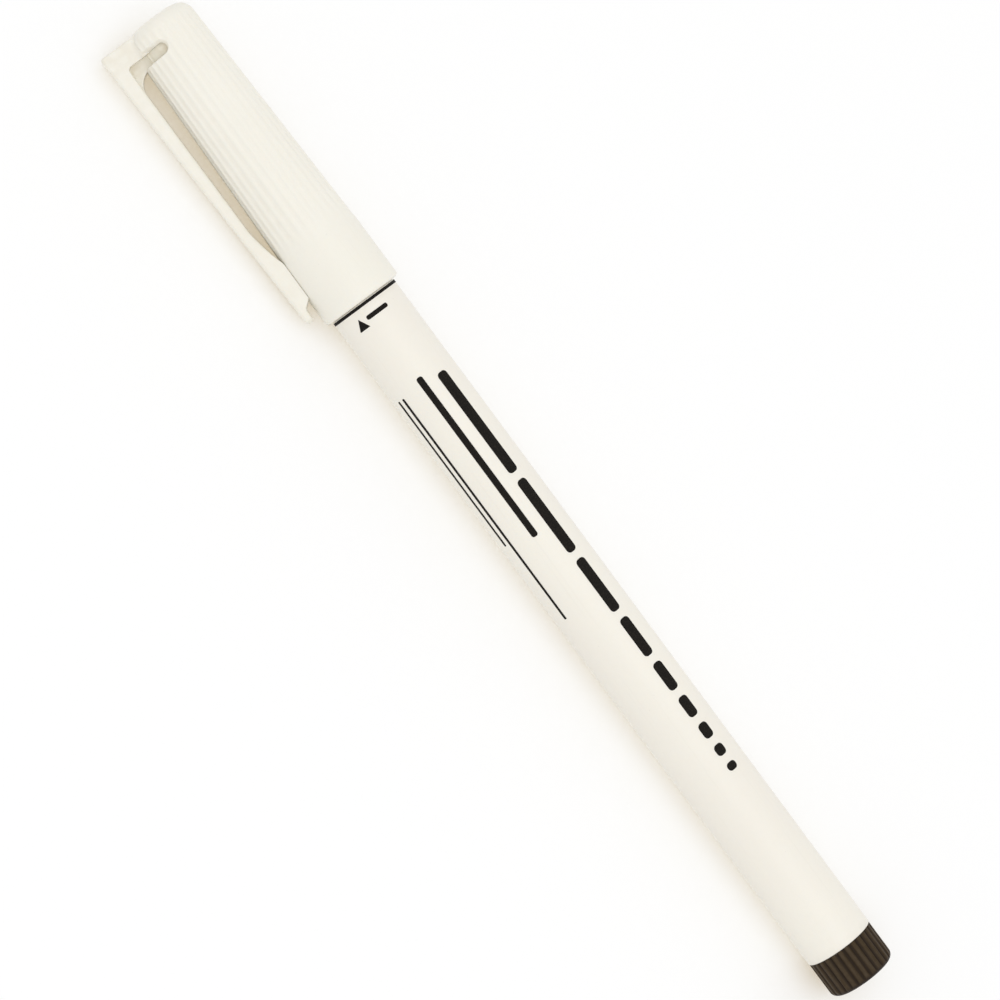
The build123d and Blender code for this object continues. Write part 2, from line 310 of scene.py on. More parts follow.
# Moulded plastic: a slow drift between two tones, fine mottle, lengthwise scuffs that dull and grey the
# surface, sparse dust specks, grime and painted shade where the piece's own mark says so, and a fine moulded
# grain.
def mouldedPlastic(name, look, grime=None, mould=mouldLook):
    material, start, coords = newMaterial(name)
    drift = between(noise(coords, look["driftSize"], mould["driftDetail"]), *mould["driftRange"])
    mottle = noise(coords, look["mottleSize"], mould["mottleDetail"], mould["mottleRough"])
    rubs = noise(stretched(coords, look["scuffStretch"]), look["scuffSize"])
    scuffs = between(rubs, *mould["scuffRange"])
    dots = start.node("ShaderNodeTexVoronoi", {}, {"Vector": coords, "Scale": 1 / (look["dustSpacing"] * mm)})
    dust = (1 - between(dots, *mould["dustRange"])) * look["dust"]
    colour = mixed(drift, look["tone"], look["otherTone"])
    colour = mixed(between(mottle, *mould["mottleRange"]) * look["mottle"], colour, look["dirt"])
    colour = mixed(scuffs * look["scuff"], colour, look["dirt"])
    colour = mixed(dust, colour, look["dustTone"])
    # the marked darkening: grime on the barrel, painted shade on the cap, the rib and the inner cap, a darker clip
    if grime is not None:
        grimeAndShadeMask = grime(start, coords) * between(noise(coords, look["grimeSize"]), *mould["grimeRange"])
        colour = mixed(grimeAndShadeMask * look["grime"], colour, look["grimeTone"])
    grain = noise(coords, look["grainSize"], mould["grainDetail"])
    mottleDull = (mottle - noiseMiddle) * mould["mottleDull"]
    shade(start, {
        "Base Color": colour,
        "Roughness": look["roughness"] + mottleDull + scuffs * mould["scuffDull"],
        "Normal": bump(grain + scuffs * -mould["scuffDent"], look["grainDepth"]),
        "Specular IOR Level": look["specular"],
        "Subsurface Weight": look["glow"],
        "Subsurface Radius": mould["glowSpread"],
        "Subsurface Scale": mould["glowDepth"] * mm,
    })
    return material


# Grime and painted shade where the piece's groove mark says so; on the plug, how deep its grooves are.
def markedGrimeAndShade(start, coords):
    return start.node("ShaderNodeAttribute", {"attribute_name": "groove"}, {}, "Fac")


# Grime gathers on the bare barrel just below the cap's mouth and just above the plug.
barrelGrimeLook = {"mouthFull": 0.2, "mouthEnd": 1.6, "plugReach": 1.2}


def barrelGrime(start, coords):
    look = barrelGrimeLook
    x = start.node("ShaderNodeSeparateXYZ", {}, {"Vector": coords}, "X")
    nearMouth = 1 - between(x, (mouthX + look["mouthFull"]) * mm, (mouthX + look["mouthEnd"]) * mm)
    nearPlug = between(x, (barrelRearX - look["plugReach"]) * mm, barrelRearX * mm)
    return nearMouth + nearPlug


# Its grime tone is painted shade in the flutes on the clip's side, on the vent's walls, at the lug's foot and on
# the rib, and a darker tone on the clip, most on its lug.
capIvory = mouldedPlastic("cap_ivory", {
    "tone": tint(0.917, 0.889, 0.806), "otherTone": tint(0.902, 0.874, 0.786), "driftSize": 14,
    "mottleSize": 0.5, "mottle": 0.04, "dirt": tint(0.76, 0.71, 0.60),
    "scuffSize": 0.35, "scuffStretch": 30, "scuff": 0.08,
    "dustSpacing": 1.7, "dust": 0.10, "dustTone": tint(0.45, 0.40, 0.33),
    "grimeSize": 1.2, "grime": 0.22, "grimeTone": tint(0.72, 0.64, 0.49),
    "grainSize": 0.22, "grainDepth": 0.006, "roughness": 0.46, "specular": 0.35, "glow": 0.15,
}, markedGrimeAndShade)

barrelWhite = mouldedPlastic("barrel_white", {
    "tone": tint(0.912, 0.877, 0.790), "otherTone": tint(0.897, 0.857, 0.775), "driftSize": 18,
    "mottleSize": 0.6, "mottle": 0.04, "dirt": tint(0.76, 0.71, 0.64),
    "scuffSize": 0.4, "scuffStretch": 45, "scuff": 0.12,
    "dustSpacing": 2.1, "dust": 0.12, "dustTone": tint(0.42, 0.38, 0.33),
    "grimeSize": 0.9, "grime": 0.20, "grimeTone": tint(0.68, 0.60, 0.50),
    "grainSize": 0.25, "grainDepth": 0.004, "roughness": 0.40, "specular": 0.40, "glow": 0.12,
}, barrelGrime)

sectionWhite = mouldedPlastic("section_white", {
    "tone": tint(0.86, 0.845, 0.80), "otherTone": tint(0.84, 0.82, 0.77), "driftSize": 9,
    "mottleSize": 0.4, "mottle": 0.05, "dirt": tint(0.70, 0.68, 0.62),
    "scuffSize": 0.3, "scuffStretch": 12, "scuff": 0.12,
    "dustSpacing": 1.9, "dust": 0.08, "dustTone": tint(0.45, 0.42, 0.38),
    "grainSize": 0.2, "grainDepth": 0.006, "roughness": 0.52, "specular": 0.35, "glow": 0.15,
})

# Its grime tone is painted shade on the cup under the vent, most towards the vent's ends.
linerNatural = mouldedPlastic("liner_natural", {
    "tone": tint(0.91, 0.870, 0.755), "otherTone": tint(0.89, 0.850, 0.725), "driftSize": 6,
    "mottleSize": 0.5, "mottle": 0.08, "dirt": tint(0.70, 0.68, 0.62),
    "scuffSize": 0.3, "scuffStretch": 18, "scuff": 0.10,
    "dustSpacing": 1.6, "dust": 0.06, "dustTone": tint(0.5, 0.47, 0.42),
    "grimeSize": 0.8, "grime": 0.5, "grimeTone": tint(0.62, 0.52, 0.36),
    "grainSize": 0.25, "grainDepth": 0.008, "roughness": 0.55, "specular": 0.35, "glow": 0.15,
}, markedGrimeAndShade)


# Dark moulded plug: darker in its grooves, rubbed paler and smoother on the ribs and the end.
plugFinish = {
    "tone": tint(0.044, 0.028, 0.012), "otherTone": tint(0.056, 0.037, 0.018),
    "mottleSize": 0.45, "mottleDetail": 4.0, "mottleRough": 0.6, "mottleRange": (0.3, 0.7), "mottleDull": 0.2,
    "groove": 0.8, "grooveTone": tint(0.014, 0.008, 0.005),
    "rub": 0.3, "rubTone": tint(0.090, 0.068, 0.046), "rubSize": 0.5, "rubStretch": 6,
    "rubRange": (0.35, 0.7), "rubPolish": 0.08,
    "grainSize": 0.2, "grainDepth": 0.008, "roughness": 0.52, "specular": 0.12,
}


def makePlugDark(look):
    material, start, coords = newMaterial("plug_dark")
    groove = markedGrimeAndShade(start, coords)
    mottle = noise(coords, look["mottleSize"], look["mottleDetail"], look["mottleRough"])
    rubs = noise(stretched(coords, look["rubStretch"]), look["rubSize"])
    rubbed = (1 - groove) * between(rubs, *look["rubRange"])
    colour = mixed(between(mottle, *look["mottleRange"]), look["tone"], look["otherTone"])
    colour = mixed(groove * look["groove"], colour, look["grooveTone"])
    colour = mixed(rubbed * look["rub"], colour, look["rubTone"])
    mottleDull = (mottle - noiseMiddle) * look["mottleDull"]
    shade(start, {
        "Base Color": colour,
        "Roughness": look["roughness"] + mottleDull - rubbed * look["rubPolish"],
        "Normal": bump(noise(coords, look["grainSize"]), look["grainDepth"]),
        "Specular IOR Level": look["specular"],
    })
    return material


# Screen-printed ink: near black, a little thin and mottled.
inkFinish = {
    "tone": tint(0.006, 0.005, 0.004), "thinTone": tint(0.020, 0.016, 0.012), "thinRange": (0.42, 0.72),
    "coverSize": 0.16, "coverRough": 0.65, "coverDull": 0.25, "coverDepth": 0.003,
    "roughness": 0.55, "specular": 0.12,
}


def makePrintInk(look):
    material, start, coords = newMaterial("print_ink")
    cover = noise(coords, look["coverSize"], roughness=look["coverRough"])
    shade(start, {
        "Base Color": mixed(between(cover, *look["thinRange"]), look["tone"], look["thinTone"]),
        "Roughness": look["roughness"] + cover * look["coverDull"],
        "Normal": bump(cover, look["coverDepth"]),
        "Specular IOR Level": look["specular"],
    })
    return material


# Bonded fibre: long fine streaks along the rod, and pores between them. A pore's size is in streak sizes.
fibreLook = {
    "streakStretch": 14, "streakDetail": 5.0, "streakRough": 0.65, "streakRange": (0.3, 0.7),
    "poreStretch": 3, "poreSize": 1.5, "poreRange": (0.55, 0.72),
    "poreShade": 0.4, "poreDull": 0.12, "poreDent": 0.6, "roughness": 0.82, "specular": 0.2,
}


def fibre(name, tone, shadow, streakSize, depth, look=fibreLook):
    material, start, coords = newMaterial(name)
    lines = stretched(coords, look["streakStretch"])
    streaks = noise(lines, streakSize, look["streakDetail"], look["streakRough"])
    pits = noise(stretched(coords, look["poreStretch"]), streakSize * look["poreSize"])
    pores = between(pits, *look["poreRange"])
    colour = mixed(between(streaks, *look["streakRange"]), shadow, tone)
    shade(start, {
        "Base Color": mixed(pores * look["poreShade"], colour, shadow),
        "Roughness": look["roughness"] + pores * look["poreDull"],
        "Normal": bump(streaks - pores * look["poreDent"], depth),
        "Specular IOR Level": look["specular"],
    })
    return material


# Clear film round the reservoir: faint lengthwise wrinkles, half see-through.
filmFinish = {
    "tone": tint(0.82, 0.84, 0.85), "foldTone": tint(0.88, 0.89, 0.90),
    "foldSize": 0.8, "foldStretch": 9, "foldDepth": 0.03,
    "roughness": 0.12, "foldDull": 0.15, "cover": 0.40, "foldCover": 0.2,
}


def makeWrapFilm(look):
    material, start, coords = newMaterial("wrap_film")
    folds = noise(stretched(coords, look["foldStretch"]), look["foldSize"])
    shade(start, {
        "Base Color": mixed(folds, look["tone"], look["foldTone"]),
        "Roughness": look["roughness"] + folds * look["foldDull"],
        "Alpha": look["cover"] + folds * look["foldCover"],
        "Normal": bump(folds, look["foldDepth"]),
    })
    return material


plugDark = makePlugDark(plugFinish)
printInk = makePrintInk(inkFinish)
nibFibre = fibre(
    "nib_fibre", tint(0.86, 0.84, 0.77), tint(0.62, 0.59, 0.50), streakSize=0.10, depth=0.012)
coreFibre = fibre(
    "reservoir_fibre", tint(0.87, 0.87, 0.85), tint(0.66, 0.66, 0.64), streakSize=0.16, depth=0.03)
wrapFilm = makeWrapFilm(filmFinish)
print("materials:", len(bpy.data.materials))


# Barrel: a tube with a lower seat under the cap, rounded rims and ribs inside that hold the reservoir.
barrelLook = {
    "radius": mounts["barrel_grip"]["dims"]["r_mm"], "wall": 0.75, "seatStep": 0.2, "seatReveal": 0.1,
    "stepEdge": 0.04, "rim": 0.12, "frontRim": 0.15, "boreRim": 0.06,
    "ribs": 4, "ribWidth": 0.8, "ribHeight": 0.2, "ribSetback": 0.5, "ribEnd": 0.03, "columns": 240,
}


def makeBarrel(look):
    outer = look["radius"]
    bore = outer - look["wall"]
    seat = outer - look["seatStep"]
    stepX = mouthX + look["seatReveal"]
    ribFrontX = sectionRearX + look["ribSetback"]
    ribRearX = spigotEndX - look["ribSetback"]
    path = roundedPath([
        (barrelFrontX, bore, look["boreRim"]), (barrelFrontX, seat, look["frontRim"]),
        (stepX, seat, 0), (stepX, outer, look["stepEdge"]),
        (barrelRearX, outer, look["rim"]), (barrelRearX, bore, look["boreRim"]),
        (ribRearX + look["ribEnd"], bore, 0), (ribRearX, bore, 0),
        (ribFrontX, bore, 0), (ribFrontX - look["ribEnd"], bore, 0),
    ], closed=True)

    def withRibs(x, radius, angles):
        rib = flatRepeats(angles, bore, look["ribs"], look["ribWidth"], look["ribEnd"])
        onRib = (x >= ribFrontX) & (x <= ribRearX) & (radius < bore + look["ribEnd"])
        return radius - onRib * rib * look["ribHeight"]

    return putTurned("barrel_tube", path, roundAngles(look["columns"]), barrelWhite, withRibs, closed=True)


barrel = makeBarrel(barrelLook)


# Print on the barrel: a ring at the cap's mouth, an arrow and a bar beside it, a stroke that breaks up
# into ever shorter dashes, and plain lines beside it. Angles are degrees from the clip.
printLook = {
    "proud": 0.012, "sunk": 0.03, "rows": 13,
    "ringFrom": 0.18, "ringTo": 0.56, "ringColumns": 240,
    "arrowFrom": 1.5, "arrowTo": 2.9, "arrowBack": 0.02, "arrowHeight": 1.5, "arrowAngle": -66,
    "bar": {"start": 1.7, "length": 0.55, "angle": -98, "height": 3.0, "corner": 0.2},
    "stroke": {"start": 12.0, "length": 14.5, "angle": -122, "height": 1.4, "corner": 0.5},
    "strokeShrink": 0.72, "strokeDashes": 9, "strokeGap": 1.1, "cornerShare": 0.45,
    "lines": (
        {"start": 11.0, "length": 23.0, "angle": -88, "height": 0.8, "corner": 0.3},
        {"start": 12.0, "length": 32.0, "angle": -45, "height": 0.36, "corner": 0.12},
        {"start": 12.0, "length": 21.0, "angle": -33, "height": 0.36, "corner": 0.12},
    ),
}


# A mark is a thin curved slab: at height v from -1 to 1 it runs from left(v) to right(v) along the pen,
# and lies round the axis at angle + v times half its height over the barrel's radius.
def markSlab(left, right, angle, height, look):
    radius = barrelLook["radius"]
    v = np.sin(np.linspace(-np.pi / 2, np.pi / 2, look["rows"]))
    turn = np.radians(angle) + v * height / 2 / radius
    top = radius + look["proud"]
    under = radius - look["sunk"]
    x = np.stack([left(v), right(v), right(v), left(v)], axis=1)
    reach = np.broadcast_to([top, top, under, under], x.shape)
    return withEnds(np.stack([x, reach * np.cos(turn)[:, None], reach * np.sin(turn)[:, None]], axis=-1))


# A dash's ends are rounded: each is drawn in by c - sqrt(c^2 - (c - e)^2), e being the way to its edge.
def dashSlab(dash, look):
    corner = min(dash["corner"], look["cornerShare"] * dash["length"])
    start = mouthX + dash["start"]
    end = start + dash["length"]

    def drawnIn(v):
        short = np.maximum(0, corner - (1 - np.abs(v)) * dash["height"] / 2)
        return corner - np.sqrt(corner**2 - short**2)

    return markSlab(
        lambda v: start + drawnIn(v), lambda v: end - drawnIn(v), dash["angle"], dash["height"], look)


def makePrint(look):
    arrowStart = mouthX + look["arrowFrom"]
    arrowEnd = mouthX + look["arrowTo"]
    arrow = markSlab(
        lambda v: arrowStart + (arrowEnd - arrowStart) * np.abs(v),
        lambda v: arrowEnd + look["arrowBack"] + 0 * v,
        look["arrowAngle"], look["arrowHeight"], look)
    dashes = [look["bar"], *look["lines"]]
    dash = look["stroke"]
    for count in range(look["strokeDashes"]):
        dashes.append(dash)
        after = dash["start"] + dash["length"] + look["strokeGap"]
        dash = {**dash, "start": after, "length": dash["length"] * look["strokeShrink"]}
    slabs = [arrow] + [dashSlab(dash, look) for dash in dashes]

    rows, corners = slabs[0].shape[:2]
    slabFaces = gridFaces(rows, corners)
    points = np.concatenate([slab.reshape(-1, 3) for slab in slabs])
    faces = np.concatenate([slabFaces + rows * corners * i for i in range(len(slabs))])

    top = barrelLook["radius"] + look["proud"]
    under = barrelLook["radius"] - look["sunk"]
    ringStart = mouthX + look["ringFrom"]
    ringEnd = mouthX + look["ringTo"]
    ring = np.array([(ringStart, under), (ringStart, top), (ringEnd, top), (ringEnd, under)])
    ringPoints = turned(ring, roundAngles(look["ringColumns"]))
    ringFaces = gridFaces(len(ring), look["ringColumns"], wrapRows=True) + len(points)
    points = np.concatenate([points, ringPoints.reshape(-1, 3)])
    return putPiece("barrel_print", points, np.concatenate([faces, ringFaces]), printInk)


barrelPrint = makePrint(printLook)


# End plug: a ribbed head with a rounded end and a gate dimple, and the spigot that plugs the barrel.
plugLook = {
    "headInset": 0.05, "endEdge": 0.9, "seamEdge": 0.1, "endThickness": 1.6, "spigotWall": 1.0,
    "pressGap": 0.01, "dimpleRadius": 0.8, "dimpleDepth": 0.18, "dimpleEdge": 0.1,
    "grooves": 28, "grooveWidth": 0.55, "grooveDepth": 0.18, "grooveBand": 0.8, "columnsPerGroove": 18,
}


def makePlug(look):
    head = barrelLook["radius"] - look["headInset"]
    spigot = barrelLook["radius"] - barrelLook["wall"] - look["pressGap"]
    bore = spigot - look["spigotWall"]
    dimpleX = plugEndX - look["dimpleDepth"]
    floorX = plugEndX - look["endThickness"]
    path = roundedPath([
        (dimpleX, 0, 0), (dimpleX, look["dimpleRadius"] - look["dimpleDepth"], look["dimpleEdge"]),
        (plugEndX, look["dimpleRadius"], look["dimpleEdge"]), (plugEndX, head, look["endEdge"]),
        (barrelRearX, head, look["seamEdge"]), (barrelRearX, spigot, 0),
        (spigotEndX, spigot, look["seamEdge"]), (spigotEndX, bore, look["seamEdge"]),
        (floorX, bore, look["seamEdge"]), (floorX, 0, 0),
    ], steps=10)

    def groove(angles):
        return grooveDepth(angles, head, look["grooves"], firstCut, look["grooveWidth"], look["grooveDepth"])

    def withGrooves(x, radius, angles):
        return np.minimum(radius, head - groove(angles))

    # how deep in a groove a point lies, in the head's outer band, which starts at a share of its radius
    def grooveMark(x, radius, turn):
        onBand = (x > barrelRearX) & (radius > look["grooveBand"] * head)
        return np.clip((head - radius) / look["grooveDepth"], 0, 1) * onBand

    angles = roundAngles(look["grooves"] * look["columnsPerGroove"], firstCut)
    piece = putTurned("plug_ribbed", path, angles, plugDark, withGrooves)
    markPoints(piece, "groove", grooveMark)
    return piece


endPlug = makePlug(plugLook)


# Front section: nose that plugs into the barrel, with the click bead, the sealing land and the nozzle.
sectionLook = {
    "flange": 1.2, "wall": 1.0, "neckStep": 0.4, "neck": 8.0,
    "bead": 0.15, "beadCrest": 0.6, "beadRamp": 0.3, "beadBack": 0.8,
    "land": 4.0, "landRadius": 2.989, "landShoulder": 0.15,
    "nozzle": 2.6, "nozzleWall": 0.55, "nozzleStep": 0.2, "lip": 0.25, "edge": 0.1, "nibBore": 1.02,
    "airGrooves": 3, "airWidth": 0.5, "airDepth": 0.25, "columns": 180,
}


def makeSection(look):
    seat = barrelLook["radius"] - barrelLook["seatStep"]
    spigot = barrelLook["radius"] - barrelLook["wall"] - plugLook["pressGap"]
    neck = seat - look["neckStep"]
    bead = neck + look["bead"]
    land = look["landRadius"]
    nozzle = look["nibBore"] + look["nozzleWall"]
    edge = look["edge"]
    flangeX = barrelFrontX - look["flange"]
    beadRearX = flangeX - look["beadBack"] - look["beadRamp"]
    crestRearX = beadRearX - look["beadRamp"]
    crestFrontX = crestRearX - look["beadCrest"]
    neckFrontX = flangeX - look["neck"]
    landFrontX = neckFrontX - look["land"]
    nozzleRearX = nozzleX + look["nozzle"]
    path = roundedPath([
        (sectionRearX, spigot - look["wall"], edge), (sectionRearX, spigot, edge),
        (barrelFrontX, spigot, 0), (barrelFrontX, seat, edge),
        (flangeX, seat, edge), (flangeX, neck, 0),
        (beadRearX, neck, edge), (crestRearX, bead, edge),
        (crestFrontX, bead, edge), (crestFrontX - look["beadRamp"], neck, edge),
        (neckFrontX, neck, 2 * edge), (neckFrontX, land, edge),
        (landFrontX, land, edge), (landFrontX, land - look["landShoulder"], 0),
        (nozzleRearX, nozzle + look["nozzleStep"], edge), (nozzleRearX, nozzle, 0.5 * edge),
        (nozzleX, nozzle, look["lip"]), (nozzleX, look["nibBore"], 0.5 * edge),
        (landFrontX - edge, look["nibBore"], 0), (landFrontX, look["nibBore"], 0),
        (landFrontX, land - look["wall"], 0), (barrelFrontX, land - look["wall"], 0),
        (barrelFrontX, spigot - look["wall"], 0),
    ], closed=True, steps=6)

    def withAir(x, radius, angles):
        groove = flatRepeats(angles, look["nibBore"], look["airGrooves"], look["airWidth"], edge)
        inBore = (x < landFrontX) & (radius < look["nibBore"] + 0.5 * edge)
        return radius + inBore * groove * look["airDepth"]

    angles = roundAngles(look["columns"], firstCut)
    return putTurned("section_nose", path, angles, sectionWhite, withAir, closed=True)


section = makeSection(sectionLook)


# Nib: a bonded fibre rod with a blunt round point, tapered again where it enters the reservoir.
nibLook = {
    "radius": 1.0, "point": 0.45, "pointRound": 0.35, "taper": 1.6, "shoulder": 0.8,
    "rearTaper": 1.5, "rearRound": 0.2, "columns": 96,
}


def makeNib(look):
    path = roundedPath([
        (nibTipX, 0, 0), (nibTipX, look["point"], look["pointRound"]),
        (nibTipX + look["taper"], look["radius"], look["shoulder"]),
        (nibRearX - look["rearTaper"], look["radius"], look["rearRound"]),
        (nibRearX, look["point"], look["rearRound"]), (nibRearX, 0, 0),
    ])
    return putTurned("nib_point", path, roundAngles(look["columns"]), nibFibre)


nib = makeNib(nibLook)
print("pen: barrel, print, plug, section and nib")


# Cap: a fluted cone with a smooth collar at its mouth, hollow, with a click ring inside. The painted shade in
# its flutes begins and fades by the cosine of the angle from the clip.
capLook = {
    "collarRadius": 5.16, "taper": 0.8, "topEdge": 1.8, "coneFrom": 2.7, "wall": 0.75,
    "gateRadius": 0.9, "gateDepth": 0.16, "gateEdge": 0.1,
    "collar": 8.3, "collarLift": 0.05, "collarSlope": 0.6, "collarRound": 2.0,
    "lip": 0.5, "mouthWall": 0.9, "leadIn": 0.25,
    "ring": 0.8, "ringRadius": 3.99, "edge": 0.06,
    "flutes": 28, "fluteWidth": 0.8, "fluteDepth": 0.09, "fluteFade": 3.0, "columnsPerFlute": 16,
    "coneRows": 20, "fluteEndRows": 24,
    "fluteGrime": 0.65, "grimeFrom": 0.1, "grimeFade": 0.3,
    "ventGrime": 2, "ventSkin": 0.15, "boreSkin": 0.02,
}


# Radius of the flutes' crests, which falls evenly from the collar to the top.
def capCrest(x):
    collarX = mouthX - capLook["collar"]
    fall = capLook["taper"] * (collarX - x) / (collarX - capTopX)
    return capLook["collarRadius"] - capLook["collarLift"] - fall


# Radius of the cap's outside, which its top edge rounds off: with p the way into the edge's radius R,
# the crest's radius less R, plus the root of R^2 - p^2.
def capOutside(x):
    edge = capLook["topEdge"]
    p = np.clip(capTopX + edge - x, 0, edge)
    return capCrest(x) - edge + np.sqrt(edge**2 - p**2)


def capBore(x):
    return capCrest(x) - capLook["fluteDepth"] - capLook["wall"]


def fluteEnd():
    return mouthX - capLook["collar"] - capLook["collarSlope"]


# Flutes lie between crests, one crest facing the clip, and run out towards the collar: with f the way
# from the flutes' end in fade lengths, their depth is multiplied by f^2 (3 - 2 f).
def fluteAt(x, angles):
    first = np.pi / capLook["flutes"]
    f = np.clip((fluteEnd() - x) / capLook["fluteFade"], 0, 1)
    full = grooveDepth(
        angles, capCrest(x), capLook["flutes"], first, capLook["fluteWidth"], capLook["fluteDepth"])
    return full * f**2 * (3 - 2 * f)


# Vent: a slot round the cap behind the clip's root, with round ends, and a ramp into it from the top.
ventLook = {
    "fromTop": 3.01, "width": 1.3, "halfArc": 70, "inner": 3.0, "rim": 3.95, "outer": 5.6, "ease": 0.2,
    "rampDeep": 0.1, "rampEase": 1.03, "sideSteps": 60, "endSteps": 16,
}


def ventX():
    return capTopX + ventLook["fromTop"] + ventLook["width"] / 2


# The slot's tool: a line along the arc is pushed out to a round-ended outline, by half the width up to the
# rim and by more outside it. On the side to the cap's top it is pushed further and slopes more, which makes
# the ramp. s is the way round the cap at the slot's rim, and x the way along the pen.
def ventTool(look):
    arc = np.radians(look["halfArc"]) * look["rim"]
    side = np.linspace(-arc, arc, look["sideSteps"], endpoint=False)
    bend = np.linspace(0, np.pi, look["endSteps"], endpoint=False)
    line = np.concatenate([side, arc + 0 * bend, -side, -arc + 0 * bend])
    pushS = np.concatenate([0 * side, np.sin(bend), 0 * side, -np.sin(bend)])
    pushX = np.concatenate([1 + 0 * side, np.cos(bend), -1 + 0 * side, -np.cos(bend)])
    lean = (1 - pushX) / 2
    half = look["width"] / 2
    deep = half + lean * look["rampDeep"]
    ease = look["ease"] + lean * (look["rampEase"] - look["ease"])
    wide = deep + (look["outer"] - look["rim"]) * ease
    radius = np.array([look["inner"], look["inner"], look["rim"], look["outer"], look["outer"]])[:, None]
    offset = np.stack([0 * deep, deep, deep, wide, 0 * deep])
    turn = (line + offset * pushS) / look["rim"]
    x = ventX() + offset * pushX
    points = np.stack(np.broadcast_arrays(x, radius * np.cos(turn), radius * np.sin(turn)), axis=-1)
    return putPiece("vent_tool", points, gridFaces(*points.shape[:2]), capIvory)


def cutBy(piece, tool):
    cut = piece.modifiers.new("cut", "BOOLEAN")
    cut.operation = "DIFFERENCE"
    cut.solver = "EXACT"
    cut.object = tool
    depsgraph = bpy.context.evaluated_depsgraph_get()
    whole = piece.data
    piece.data = bpy.data.meshes.new_from_object(piece.evaluated_get(depsgraph))
    piece.modifiers.clear()
    bpy.data.meshes.remove(whole)
    bpy.data.objects.remove(tool)
    finishMesh(piece.data, cutGap)


def makeCap(look):
    collarX = mouthX - look["collar"]
    coneEndX = fluteEnd() - look["fluteFade"]
    seatBore = look["collarRadius"] - look["mouthWall"]
    flangeX = barrelFrontX - sectionLook["flange"]
    ringFrontX = flangeX - look["ring"]
    ringBackX = ringFrontX - (capBore(ringFrontX) - look["ringRadius"])
    cone = np.linspace(capTopX + look["coneFrom"], coneEndX, look["coneRows"])
    fluteRows = np.linspace(coneEndX, fluteEnd(), look["fluteEndRows"], endpoint=False)[1:]
    outside = [(x, capCrest(x), 0) for x in (*cone, *fluteRows)]
    path = roundedPath([
        (capTopX + look["gateDepth"], 0, 0),
        (capTopX + look["gateDepth"], look["gateRadius"] - look["gateDepth"], look["gateEdge"]),
        (capTopX, look["gateRadius"], look["gateEdge"]),
        (capTopX, capCrest(capTopX), look["topEdge"]),
        *outside,
        (fluteEnd(), capCrest(fluteEnd()), look["collarRound"]),
        (collarX, look["collarRadius"], look["collarRound"]),
        (mouthX, look["collarRadius"], look["lip"]),
        (mouthX, seatBore + look["leadIn"], look["edge"]), (mouthX - look["leadIn"], seatBore, look["edge"]),
        (flangeX, seatBore, 0), (flangeX, look["ringRadius"], look["edge"]),
        (ringFrontX, look["ringRadius"], look["edge"]), (ringBackX, capBore(ringBackX), look["edge"]),
        (linerEndX, capBore(linerEndX), 0), (linerEndX, 0, 0),
    ], steps=10)

    def withFlutes(x, radius, angles):
        return np.where(x < fluteEnd(), np.minimum(radius, capCrest(x) - fluteAt(x, angles)), radius)

    # painted shade darkens the flutes on the clip's side and the vent's walls
    def shadeMark(x, radius, turn):
        clipSide = np.clip((np.cos(turn) - look["grimeFrom"]) / look["grimeFade"], 0, 1)
        outside = radius > capBore(x) + look["wall"] / 2
        inFlutes = look["fluteGrime"] * clipSide * fluteAt(x, turn) / look["fluteDepth"] * outside
        # painted shade on the vent's walls, fading out at the cap's surface
        nearVent = np.abs(x - ventX()) < ventLook["width"]
        inWall = (radius < capOutside(x) - look["ventSkin"]) & (radius > capBore(x) + look["boreSkin"])
        return inFlutes + look["ventGrime"] * (nearVent & inWall)

    angles = roundAngles(look["flutes"] * look["columnsPerFlute"])
    piece = putTurned("cap_fluted", path, angles, capIvory, withFlutes)
    cutBy(piece, ventTool(ventLook))
    markPoints(piece, "groove", shadeMark)
    return piece


cap = makeCap(capLook)
print("cap:", len(cap.data.polygons), "faces")


# Inner cap: a thin cup that seals the nib, held in the shell by fins. Its painted shade begins and fades by
# the angle from the clip, in radians.
linerLook = {
    "radius": 3.379, "bore": 3.029, "floor": 0.6, "edge": 0.12, "floorRound": 0.3,
    "fins": 6, "finWidth": 0.6, "finEdge": 0.03, "finGap": 0.01, "columns": 360,
    "soiledRows": 9, "grimePeak": 1.6, "grimeFrom": 0.7, "grimeFade": 0.5,
}


def makeLiner(look):
    floorX = linerEndX + look["floor"]
    soiledX = ventX() + ventLook["width"] * np.linspace(-1, 1, look["soiledRows"])
    path = roundedPath([
        (linerEndX, 0, 0), (linerEndX, look["radius"], 0), (linerEndX + look["finEdge"], look["radius"], 0),
        *((x, look["radius"], 0) for x in soiledX),
        (linerRimX - look["finEdge"], look["radius"], 0), (linerRimX, look["radius"], 0),
        (linerRimX, look["bore"], look["edge"]), (floorX, look["bore"], look["floorRound"]), (floorX, 0, 0),
    ])

    def withFins(x, radius, angles):
        fin = flatRepeats(angles, look["radius"], look["fins"], look["finWidth"], look["finEdge"])
        inside = (x > linerEndX) & (x < linerRimX) & (radius > look["radius"] - look["finEdge"])
        return radius + inside * fin * (capBore(x) - look["finGap"] - look["radius"])

    # painted shade lies on the cup under the vent, most towards the vent's ends
    def shadeMark(x, radius, turn):
        nearVent = np.clip(look["grimePeak"] * (1 - np.abs(x - ventX()) / ventLook["width"]), 0, 1)
        nearEnds = np.clip((np.abs(turn) - look["grimeFrom"]) / look["grimeFade"], 0, 1)
        return nearVent * nearEnds * (radius > look["radius"] - look["finEdge"])

    piece = putTurned("liner_cup", path, roundAngles(look["columns"], firstCut), linerNatural, withFins)
    markPoints(piece, "groove", shadeMark)
    return piece


liner = makeLiner(linerLook)


